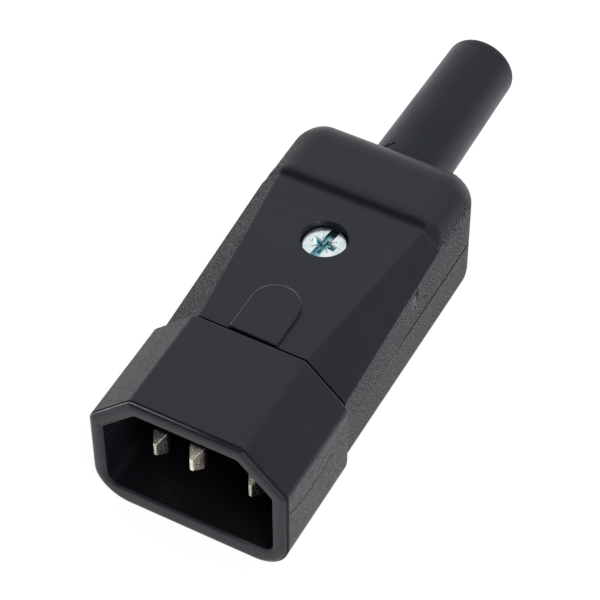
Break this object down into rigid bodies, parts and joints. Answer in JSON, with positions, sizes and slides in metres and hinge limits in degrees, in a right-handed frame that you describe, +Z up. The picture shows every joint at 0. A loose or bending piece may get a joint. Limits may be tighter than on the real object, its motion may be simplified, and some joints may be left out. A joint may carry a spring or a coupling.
{
  "type": "iec power plug",
  "caption": "Straight rewirable mains plug with flat pins recessed in a chamfered hood, a split body held by a screw, and a tapered rubber cable sleeve.",
  "frame": {"origin": "middle of the footprint, on the plane that the hood's flat underside stands on", "axes": "+X to the right seen from the open front, +Y from the open front of the hood to the cable sleeve, +Z up through the cover screw"},
  "size_m": [0.0286, 0.0858, 0.0216],
  "materials": {
    "hood_plastic": "black moulded polyamide, satin",
    "shell_plastic": "black moulded polyamide, satin top and spark-eroded sides",
    "sleeve_rubber": "black moulded rubber, smooth",
    "clamp_plastic": "black moulded polyamide",
    "pin_metal": "brass, nickel plated",
    "terminal_brass": "machined brass",
    "screw_zinc": "steel, bright zinc plated"
  },
  "bodies": {
    "root": {"front_hood": "hood_plastic", "upper_cover": "shell_plastic", "lower_base": "shell_plastic", "cable_sleeve": "sleeve_rubber", "cord_clamp": "clamp_plastic", "line_pin": "pin_metal", "neutral_pin": "pin_metal", "earth_pin": "pin_metal", "line_terminal": "terminal_brass", "neutral_terminal": "terminal_brass", "earth_terminal": "terminal_brass", "cover_screw_insert": "terminal_brass", "line_terminal_screw": "screw_zinc", "neutral_terminal_screw": "screw_zinc", "earth_terminal_screw": "screw_zinc", "cover_screw": "screw_zinc", "left_clamp_screw": "screw_zinc", "right_clamp_screw": "screw_zinc"}
  },
  "joints": []
}
